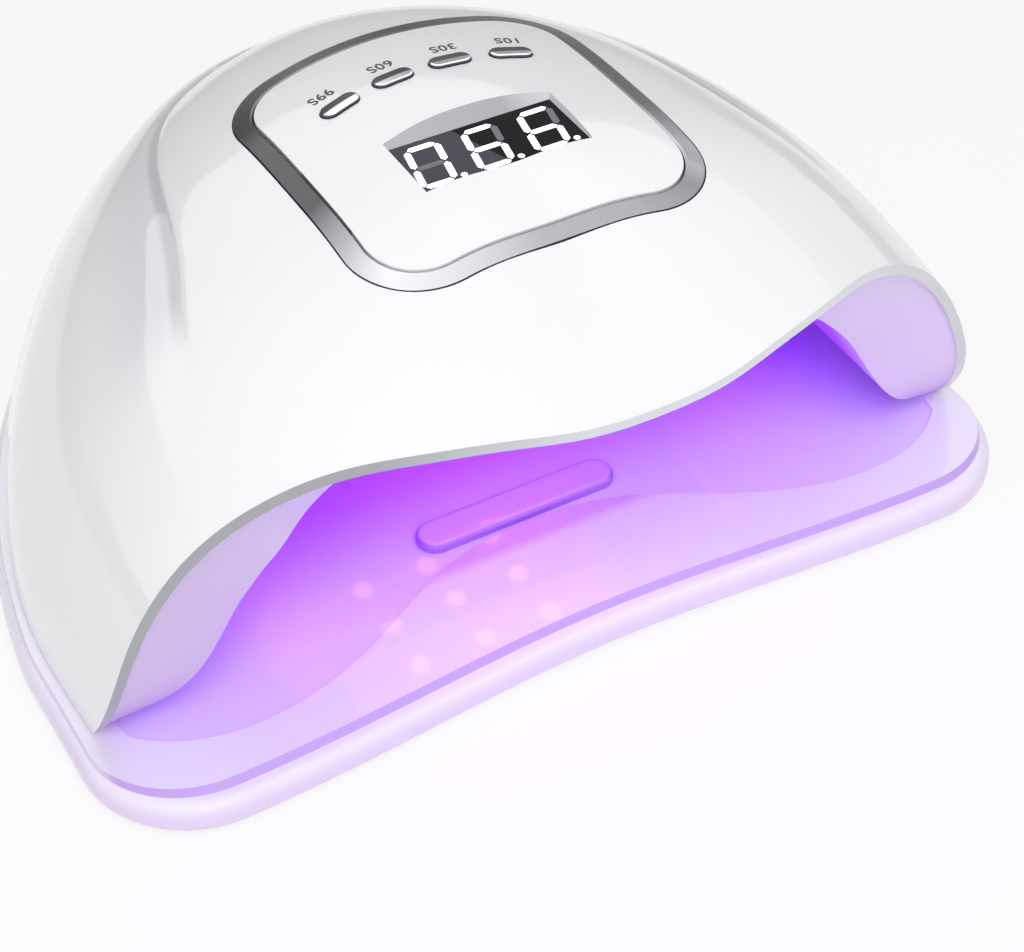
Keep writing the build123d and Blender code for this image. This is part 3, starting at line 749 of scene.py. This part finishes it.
def place_camera():
    data = bpy.data.cameras.new("camera")
    data.sensor_fit = "HORIZONTAL"
    data.sensor_width = sensor_width
    data.lens = focal_pixels * sensor_width / image_width
    data.clip_start = nearest_seen
    data.clip_end = furthest_seen
    camera = add_object("camera", data)
    camera.matrix_world = Matrix.Translation(camera_place) @ camera_turn().to_4x4()
    bpy.context.scene.camera = camera


def background_switch(tree):
    """1 for rays that should see the white background, 0 for the light that falls on the object."""
    path = tree.nodes.new("ShaderNodeLightPath")
    rays = path.outputs
    camera_or_gloss = combined(tree, "MAXIMUM", rays["Is Camera Ray"], rays["Is Glossy Ray"])
    return combined(tree, "MAXIMUM", camera_or_gloss, rays["Is Transmission Ray"])


def make_world():
    world = bpy.data.worlds.new("studio")
    world.use_nodes = True
    tree = world.node_tree
    tree.nodes.clear()
    output = tree.nodes.new("ShaderNodeOutputWorld")
    seen = tree.nodes.new("ShaderNodeBackground")
    seen.inputs["Color"].default_value = (*white, 1)
    seen.inputs["Strength"].default_value = 1.0
    falling = tree.nodes.new("ShaderNodeBackground")
    falling.inputs["Color"].default_value = falling_light
    falling.inputs["Strength"].default_value = falling_strength
    mix = tree.nodes.new("ShaderNodeMixShader")
    tree.links.new(background_switch(tree), mix.inputs["Fac"])
    tree.links.new(falling.outputs["Background"], mix.inputs[1])
    tree.links.new(seen.outputs["Background"], mix.inputs[2])
    tree.links.new(mix.outputs["Shader"], output.inputs["Surface"])
    bpy.context.scene.world = world


def empty_material(name):
    """A material with nothing in it but its output."""
    material = bpy.data.materials.new(name)
    material.use_nodes = True
    tree = material.node_tree
    tree.nodes.clear()
    return material, tree, tree.nodes.new("ShaderNodeOutputMaterial")


def floor_material():
    """White floor that takes shadows and shows most of the background's white by itself."""
    material, tree, output = empty_material("floor_white")
    lit = tree.nodes.new("ShaderNodeBsdfDiffuse")
    lit.inputs["Color"].default_value = floor_colour
    plain = tree.nodes.new("ShaderNodeEmission")
    plain.inputs["Color"].default_value = (*white, 1)
    mix = tree.nodes.new("ShaderNodeMixShader")
    tree.links.new(scaled(tree, background_switch(tree), floor_glow), mix.inputs["Fac"])
    tree.links.new(lit.outputs["BSDF"], mix.inputs[1])
    tree.links.new(plain.outputs["Emission"], mix.inputs[2])
    tree.links.new(mix.outputs["Shader"], output.inputs["Surface"])
    return material


def make_floor():
    half = floor_half
    corners = [(-half, -half, 0), (half, -half, 0), (half, half, 0), (-half, half, 0)]
    mesh = bpy.data.meshes.new("floor")
    mesh.from_pydata(corners, [], [(0, 1, 2, 3)])
    mesh.materials.append(floor_material())
    add_object("floor", mesh)


def add_area(name, place, target, size, power, colour):
    """A rectangular light at a place, turned to a target."""
    data = bpy.data.lights.new(name, "AREA")
    data.shape = "RECTANGLE"
    data.size, data.size_y = size
    data.energy = power
    data.color = colour
    light = add_object(name, data)
    light.location = place
    light.rotation_mode = "QUATERNION"
    light.rotation_quaternion = (Vector(target) - Vector(place)).to_track_quat("-Z", "Y")
    return light


def card_material(name):
    """Glows with the shade that the card's corners carry."""
    material, tree, output = empty_material(name)
    shade = tree.nodes.new("ShaderNodeAttribute")
    shade.attribute_name = "shade"
    glow = tree.nodes.new("ShaderNodeEmission")
    tree.links.new(shade.outputs["Color"], glow.inputs["Color"])
    tree.links.new(glow.outputs["Emission"], output.inputs["Surface"])
    return material


def glow_card(name, vertices, faces, shades):
    """A studio card that only gloss sees, with a shade at each corner."""
    mesh = bpy.data.meshes.new(name)
    mesh.from_pydata(vertices, [], faces)
    attribute = mesh.color_attributes.new("shade", "FLOAT_COLOR", "POINT")
    for entry, shade in zip(attribute.data, shades):
        entry.color = (shade, shade, shade, 1)
    mesh.materials.append(card_material(name))
    card = add_object(name, mesh)
    card.visible_camera = False
    card.visible_diffuse = False
    card.visible_shadow = False
    card.visible_transmission = False


def on_ring(radius, bearing, height):
    turn = math.radians(bearing)
    return (radius * math.sin(turn), radius * math.cos(turn), height)


def strip_faces(rows, columns):
    """Faces between points that are listed row by row."""
    faces = []
    for row in range(rows - 1):
        for step in range(columns - 1):
            low = row * columns + step
            faces.append((low, low + 1, low + columns + 1, low + columns))
    return faces


def share_between(value, edges):
    """0 where the value is at the first edge, 1 where it is at the second, and level beyond."""
    return min(max((value - edges[0]) / (edges[1] - edges[0]), 0), 1)


def wall_column(bearing):
    """Rise and shade of the wall's points at one bearing, from the floor up to the ceiling."""
    top = wall_top_rise + wall_top_step * share_between(bearing, wall_top_step_edge)
    fade = share_between(bearing, wall_left_fade)
    fade += wall_right_fade_strength * share_between(bearing, wall_right_fade)
    upper_rows = (
        (top - wall_top_blend, wall_top_shade),
        (top, ceiling_shade),
        (ceiling_rise, ceiling_shade),
    )
    return [(rise, shade + (ceiling_shade - shade) * fade) for rise, shade in wall_rows + upper_rows]


def hang_wall():
    """Grey backdrop behind the lamp, seen in its gloss between the floor and the ceiling's soft box."""
    columns = [wall_column(bearing) for bearing in wall_bearings]
    row_count = len(columns[0])
    vertices = []
    shades = []
    for row in range(row_count):
        for bearing, column in zip(wall_bearings, columns):
            rise, shade = column[row]
            vertices.append(on_ring(card_radius, bearing, card_radius * math.tan(math.radians(rise))))
            shades.append(shade)
    glow_card("backdrop_wall", vertices, strip_faces(row_count, len(columns)), shades)


def lay_far_floor():
    """Grey floor behind and beside the lamp, which its gloss sees at the grazing edges."""
    vertices = []
    shades = []
    for radius, shade in far_floor_rows:
        for bearing in far_floor_bearings:
            vertices.append(on_ring(radius, bearing, far_floor_height))
            shades.append(shade)
    faces = strip_faces(len(far_floor_rows), len(far_floor_bearings))
    glow_card("far_floor", vertices, faces, shades)


def hang_ceiling():
    """Broad soft box over the lamp, as its gloss sees it above the backdrop wall."""
    low = card_radius * math.tan(math.radians(ceiling_rise))
    sides = range(ceiling_sides)
    vertices = [(0, 0, ceiling_height)]
    vertices += [on_ring(card_radius, 360 * step / ceiling_sides, low) for step in sides]
    faces = [(0, 1 + step, 1 + (step + 1) % ceiling_sides) for step in sides]
    glow_card("ceiling_soft_box", vertices, faces, [ceiling_shade] * len(vertices))


def light_studio():
    key = add_area("key", key_place, studio_middle, key_size, key_power, white)
    top = add_area("top", top_place, studio_middle, top_size, top_power, white)
    key.visible_glossy = False
    top.visible_glossy = False


def light_cavity():
    """Violet light in the mouth, from lights that rise with the lamp."""
    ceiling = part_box("led_beads")[0].z
    lights = []
    for index, (y, power, colour) in enumerate(cavity_lights):
        place = (0, y * mm, ceiling - 1 * mm)
        target = (0, y * mm, 0)
        name = "violet_" + str(index)
        lights.append(add_area(name, place, target, cavity_light_size, power, colour))
    for name, side in (("violet_left", -1), ("violet_right", 1)):
        place = (side * side_place[0], side_place[1], side_place[2])
        target = (side * side_target[0], side_target[1], side_target[2])
        lights.append(add_area(name, place, target, side_size, side_power, side_light))
    spill = add_area("violet_spill", spill_place, spill_target, spill_size, spill_power, spill_light)
    lights.append(spill)
    for light in lights:
        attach(light, "lamp")


# Display and print

def digit_corner(index, side, y):
    """A corner of a digit's segments; side is 0 on its left and 1 on its right."""
    x = digit_left_x + index * digit_pitch + side * digit_width + digit_slant * (y - digit_top_y)
    return Vector((x, y))


def digit_segments(index):
    """Ends of each segment's centre line."""
    top = [digit_corner(index, side, digit_top_y) for side in (0, 1)]
    middle = [digit_corner(index, side, digit_middle_y) for side in (0, 1)]
    bottom = [digit_corner(index, side, digit_bottom_y) for side in (0, 1)]
    return {
        "top": (top[0], top[1]),
        "middle": (middle[0], middle[1]),
        "bottom": (bottom[0], bottom[1]),
        "upper_left": (top[0], middle[0]),
        "upper_right": (top[1], middle[1]),
        "lower_left": (middle[0], bottom[0]),
        "lower_right": (middle[1], bottom[1]),
    }


def segment_outline(start, end):
    """A bar with pointed ends, shortened a little so that neighbours stay apart."""
    along = (end - start).normalized()
    across = Vector((-along.y, along.x)) * (segment_width / 2)
    start = start + along * segment_gap
    end = end - along * segment_gap
    neck = along * (segment_width / 2)
    lower = [start + neck - across, end - neck - across]
    upper = [end - neck + across, start + neck + across]
    return [start] + lower + [end] + upper


def dot_outline(centre):
    points = []
    for step in range(dot_sides):
        angle = 2 * math.pi * step / dot_sides
        points.append(centre + Vector((math.cos(angle), math.sin(angle))) * dot_radius)
    return points


def add_plate(mesh, outline, top_z):
    """A thin plate with the given outline, its top at a height."""
    corners = [mesh.verts.new((point.x * mm, point.y * mm, top_z)) for point in outline]
    walls = bmesh.ops.extrude_face_region(mesh, geom=[mesh.faces.new(corners)])
    moved = [item for item in walls["geom"] if isinstance(item, bmesh.types.BMVert)]
    thickness = (print_depth - digit_clearance) * mm
    bmesh.ops.translate(mesh, verts=moved, vec=(0, 0, -thickness))


def raised_plates(name, outlines, material):
    """Thin plates on the window, in one piece that rides on the lamp."""
    top_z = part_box("display_window")[1].z + print_depth * mm
    mesh = bmesh.new()
    for outline in outlines:
        add_plate(mesh, outline, top_z)
    bmesh.ops.recalc_face_normals(mesh, faces=mesh.faces)
    data = bpy.data.meshes.new(name)
    mesh.to_mesh(data)
    mesh.free()
    data.materials.append(material)
    piece = add_object(name, data)
    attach(piece, "lamp")


def draw_display(materials):
    lit = []
    dark = []
    for index in range(digit_count):
        for place, (start, end) in digit_segments(index).items():
            outlines = dark if (index, place) in dark_segments else lit
            outlines.append(segment_outline(start, end))
        lit.append(dot_outline(digit_corner(index, 1, digit_bottom_y) + dot_offset))
    raised_plates("display_segments_lit", lit, materials["segment_on"])
    raised_plates("display_segments_dark", dark, materials["segment_off"])


def word_mesh(text):
    """A flat word of the print's thickness, its middle at the origin."""
    curve = bpy.data.curves.new("word", "FONT")
    curve.body = text
    curve.size = label_height * mm * font_size_per_height
    curve.offset = label_weight * mm
    curve.extrude = print_depth * mm / 2
    curve.align_x = "CENTER"
    curve.align_y = "CENTER"
    curve.space_character = label_spacing
    word = add_object("word", curve)
    bpy.context.view_layer.update()
    mesh = bpy.data.meshes.new_from_object(word)
    bpy.data.objects.remove(word)
    return mesh


def lay_on_panel(mesh, x, y, turn):
    """Moves a flat word to its place and bends it to the panel; it reads from behind the lamp."""
    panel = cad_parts["control_panel"]
    over_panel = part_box("control_panel")[1].z + 5 * mm
    place = Matrix.Translation((x * mm, y * mm, 0)) @ Matrix.Rotation(math.radians(180 + turn), 4, "Z")
    for vertex in mesh.vertices:
        point = place @ vertex.co
        lift = (print_depth / 2 - word_sunk) * mm + vertex.co.z
        hit = panel.ray_cast(Vector((point.x, point.y, over_panel)), Vector((0, 0, -1)))
        spot, normal = hit[1:3]
        vertex.co = spot + normal * lift


def print_label(text, x, y, turn, material):
    mesh = word_mesh(text)
    lay_on_panel(mesh, x, y, turn)
    mesh.materials.append(material)
    piece = add_object("label_" + text, mesh)
    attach(piece, "lamp")


place_camera()
make_world()
make_floor()
hang_wall()
lay_far_floor()
hang_ceiling()
light_studio()
light_cavity()
materials = make_materials()
dress_nodes(materials)
draw_display(materials)
for text, x, y, turn in labels:
    print_label(text, x, y, turn, materials["ink"])

bpy.context.scene.view_settings.view_transform = "Standard"
